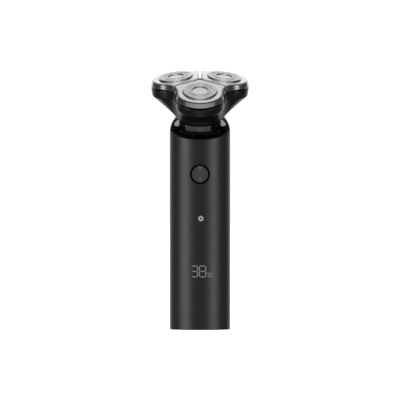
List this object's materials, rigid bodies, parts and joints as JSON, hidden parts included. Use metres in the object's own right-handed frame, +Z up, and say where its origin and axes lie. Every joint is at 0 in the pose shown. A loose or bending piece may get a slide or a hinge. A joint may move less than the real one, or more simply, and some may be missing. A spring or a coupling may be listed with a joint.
{
  "type": "electric shaver",
  "caption": "Cordless rotary shaver with a round handle, a power button, a charge display and a tilted pull-off head that carries floating, spring-loaded shaving units.",
  "frame": {"origin": "centre of the handle's flat base", "axes": "+Z up the handle, -Y the front with the button and display, +X to the viewer's right"},
  "size_m": [0.059, 0.0542, 0.1568],
  "materials": {
    "shell_black": "satin black",
    "gloss_black": "piano black",
    "head_black": "semi-gloss black",
    "base_black": "fine texture",
    "button_metal": "spun, anodised grey",
    "bezel_chrome": "bright chrome plate",
    "guard_steel": "polished stainless",
    "cap_steel": "spun stainless",
    "cutter_steel": "ground steel",
    "port_steel": "plain",
    "inner_black": "plain",
    "seal_rubber": "soft",
    "board_green": "solder mask",
    "light_guide": "frosted light guide",
    "cell_sleeve": "shrink sleeve",
    "motor_steel": "zinc plated",
    "bronze": "sintered bronze",
    "magnet": "sintered",
    "winding": "enamelled copper",
    "wire": "insulation",
    "acetal": "natural acetal"
  },
  "bodies": {
    "handle": {"body_shell": "shell_black", "neck_housing": "gloss_black", "base_cap": "base_black", "base_seal": "seal_rubber", "base_screws": "port_steel", "usb_port": "port_steel", "usb_tongue": "inner_black", "charge_board": "board_green", "button_ring": "gloss_black", "button_seal": "seal_rubber", "tact_switch": "inner_black", "main_board": "board_green", "board_chips": "inner_black", "display_module": "light_guide", "display_light_guide": "light_guide", "status_light_guide": "light_guide", "battery": "cell_sleeve", "inner_frame": "inner_black", "motor_can": "motor_steel", "motor_magnets": "magnet", "motor_end_cap": "inner_black", "motor_bushes": "bronze", "motor_screws": "port_steel", "shaft_seal": "seal_rubber", "neck_magnets": "magnet", "lead_wires": "wire"},
    "button": {"power_button": "button_metal"},
    "rotor": {"motor_rotor": "winding", "motor_shaft": "motor_steel", "drive_dog": "acetal"},
    "head": {"head_base": "head_black", "keeper_ring": "motor_steel", "pinion_bush": "bronze", "gear_cover": "inner_black", "cover_screws": "port_steel"},
    "pinion": {"drive_pinion": "acetal"},
    "gear_1": {"driven_gear_1": "acetal", "spindle_spring_1": "motor_steel"},
    "spindle_1": {"spindle_1": "acetal"},
    "lobe_1": {"bezel_1": "bezel_chrome", "lobe_carrier_1": "inner_black"},
    "guard_1": {"guard_1": "guard_steel", "guard_cap_1": "cap_steel"},
    "cutter_1": {"cutter_1": "cutter_steel"},
    "gear_2": {"driven_gear_2": "acetal", "spindle_spring_2": "motor_steel"},
    "spindle_2": {"spindle_2": "acetal"},
    "lobe_2": {"bezel_2": "bezel_chrome", "lobe_carrier_2": "inner_black"},
    "guard_2": {"guard_2": "guard_steel", "guard_cap_2": "cap_steel"},
    "cutter_2": {"cutter_2": "cutter_steel"},
    "gear_3": {"driven_gear_3": "acetal", "spindle_spring_3": "motor_steel"},
    "spindle_3": {"spindle_3": "acetal"},
    "lobe_3": {"bezel_3": "bezel_chrome", "lobe_carrier_3": "inner_black"},
    "guard_3": {"guard_3": "guard_steel", "guard_cap_3": "cap_steel"},
    "cutter_3": {"cutter_3": "cutter_steel"}
  },
  "joints": [
    {"name": "button_press", "type": "slide", "parent": "handle", "child": "button", "axis": [0, 1, 0], "range_m": [0, 0.0005], "stiffness_N_per_m": 1500},
    {"name": "head_release", "type": "slide", "parent": "handle", "child": "head", "axis": [0, -0.3584, 0.9336], "range_m": [0, 0.025]},
    {"name": "motor_spin", "type": "hinge", "parent": "handle", "child": "rotor", "pos_m": [0, 0, 0.129], "axis": [0, -0.3584, 0.9336], "continuous": true},
    {"name": "pinion_spin", "type": "hinge", "parent": "head", "child": "pinion", "pos_m": [0, 0, 0.129], "axis": [0, -0.3584, 0.9336], "continuous": true},
    {"name": "gear_spin_1", "type": "hinge", "parent": "head", "child": "gear_1", "pos_m": [0, -0.01913, 0.13419], "axis": [0, -0.3584, 0.9336], "continuous": true},
    {"name": "spindle_slide_1", "type": "slide", "parent": "gear_1", "child": "spindle_1", "axis": [0, 0.3584, -0.9336], "range_m": [0, 0.0008], "deforming": ["spindle_spring_1"]},
    {"name": "lobe_tilt_1", "type": "hinge", "parent": "head", "child": "lobe_1", "pos_m": [0, -0.02078, 0.13849], "axis": [1, 0, 0], "range_deg": [-3, 3], "stiffness_Nm_per_rad": 0.2},
    {"name": "guard_float_1", "type": "slide", "parent": "lobe_1", "child": "guard_1", "axis": [0, 0.4924, -0.8704], "range_m": [0, 0.0008], "stiffness_N_per_m": 900},
    {"name": "cutter_spin_1", "type": "hinge", "parent": "guard_1", "child": "cutter_1", "pos_m": [0, -0.02411, 0.14438], "axis": [0, -0.4924, 0.8704], "continuous": true},
    {"name": "gear_spin_2", "type": "hinge", "parent": "head", "child": "gear_2", "pos_m": [0.01386, 0.00328, 0.14279], "axis": [0, -0.3584, 0.9336], "continuous": true},
    {"name": "spindle_slide_2", "type": "slide", "parent": "gear_2", "child": "spindle_2", "axis": [0, 0.3584, -0.9336], "range_m": [0, 0.0008], "deforming": ["spindle_spring_2"]},
    {"name": "lobe_tilt_2", "type": "hinge", "parent": "head", "child": "lobe_2", "pos_m": [0.01386, 0.00162, 0.14709], "axis": [-0.5, 0.8085, 0.3104], "range_deg": [-3, 3], "stiffness_Nm_per_rad": 0.2},
    {"name": "guard_float_2", "type": "slide", "parent": "lobe_2", "child": "guard_2", "axis": [-0.128, 0.2854, -0.9498], "range_m": [0, 0.0008], "stiffness_N_per_m": 900},
    {"name": "cutter_spin_2", "type": "hinge", "parent": "guard_2", "child": "cutter_2", "pos_m": [0.01472, -0.00031, 0.15352], "axis": [0.128, -0.2854, 0.9498], "continuous": true},
    {"name": "gear_spin_3", "type": "hinge", "parent": "head", "child": "gear_3", "pos_m": [-0.01386, 0.00328, 0.14279], "axis": [0, -0.3584, 0.9336], "continuous": true},
    {"name": "spindle_slide_3", "type": "slide", "parent": "gear_3", "child": "spindle_3", "axis": [0, 0.3584, -0.9336], "range_m": [0, 0.0008], "deforming": ["spindle_spring_3"]},
    {"name": "lobe_tilt_3", "type": "hinge", "parent": "head", "child": "lobe_3", "pos_m": [-0.01386, 0.00162, 0.14709], "axis": [-0.5, -0.8085, -0.3104], "range_deg": [-3, 3], "stiffness_Nm_per_rad": 0.2},
    {"name": "guard_float_3", "type": "slide", "parent": "lobe_3", "child": "guard_3", "axis": [0.128, 0.2854, -0.9498], "range_m": [0, 0.0008], "stiffness_N_per_m": 900},
    {"name": "cutter_spin_3", "type": "hinge", "parent": "guard_3", "child": "cutter_3", "pos_m": [-0.01472, -0.00031, 0.15352], "axis": [-0.128, -0.2854, 0.9498], "continuous": true}
  ],
  "couplings": [
    {"joint": "pinion_spin", "follows": "motor_spin", "ratio": 1},
    {"joint": "gear_spin_1", "follows": "motor_spin", "ratio": -0.6},
    {"joint": "spindle_slide_1", "follows": "guard_float_1", "ratio": 1},
    {"joint": "cutter_spin_1", "follows": "motor_spin", "ratio": -0.6},
    {"joint": "gear_spin_2", "follows": "motor_spin", "ratio": -0.6},
    {"joint": "spindle_slide_2", "follows": "guard_float_2", "ratio": 1},
    {"joint": "cutter_spin_2", "follows": "motor_spin", "ratio": -0.6},
    {"joint": "gear_spin_3", "follows": "motor_spin", "ratio": -0.6},
    {"joint": "spindle_slide_3", "follows": "guard_float_3", "ratio": 1},
    {"joint": "cutter_spin_3", "follows": "motor_spin", "ratio": -0.6}
  ]
}
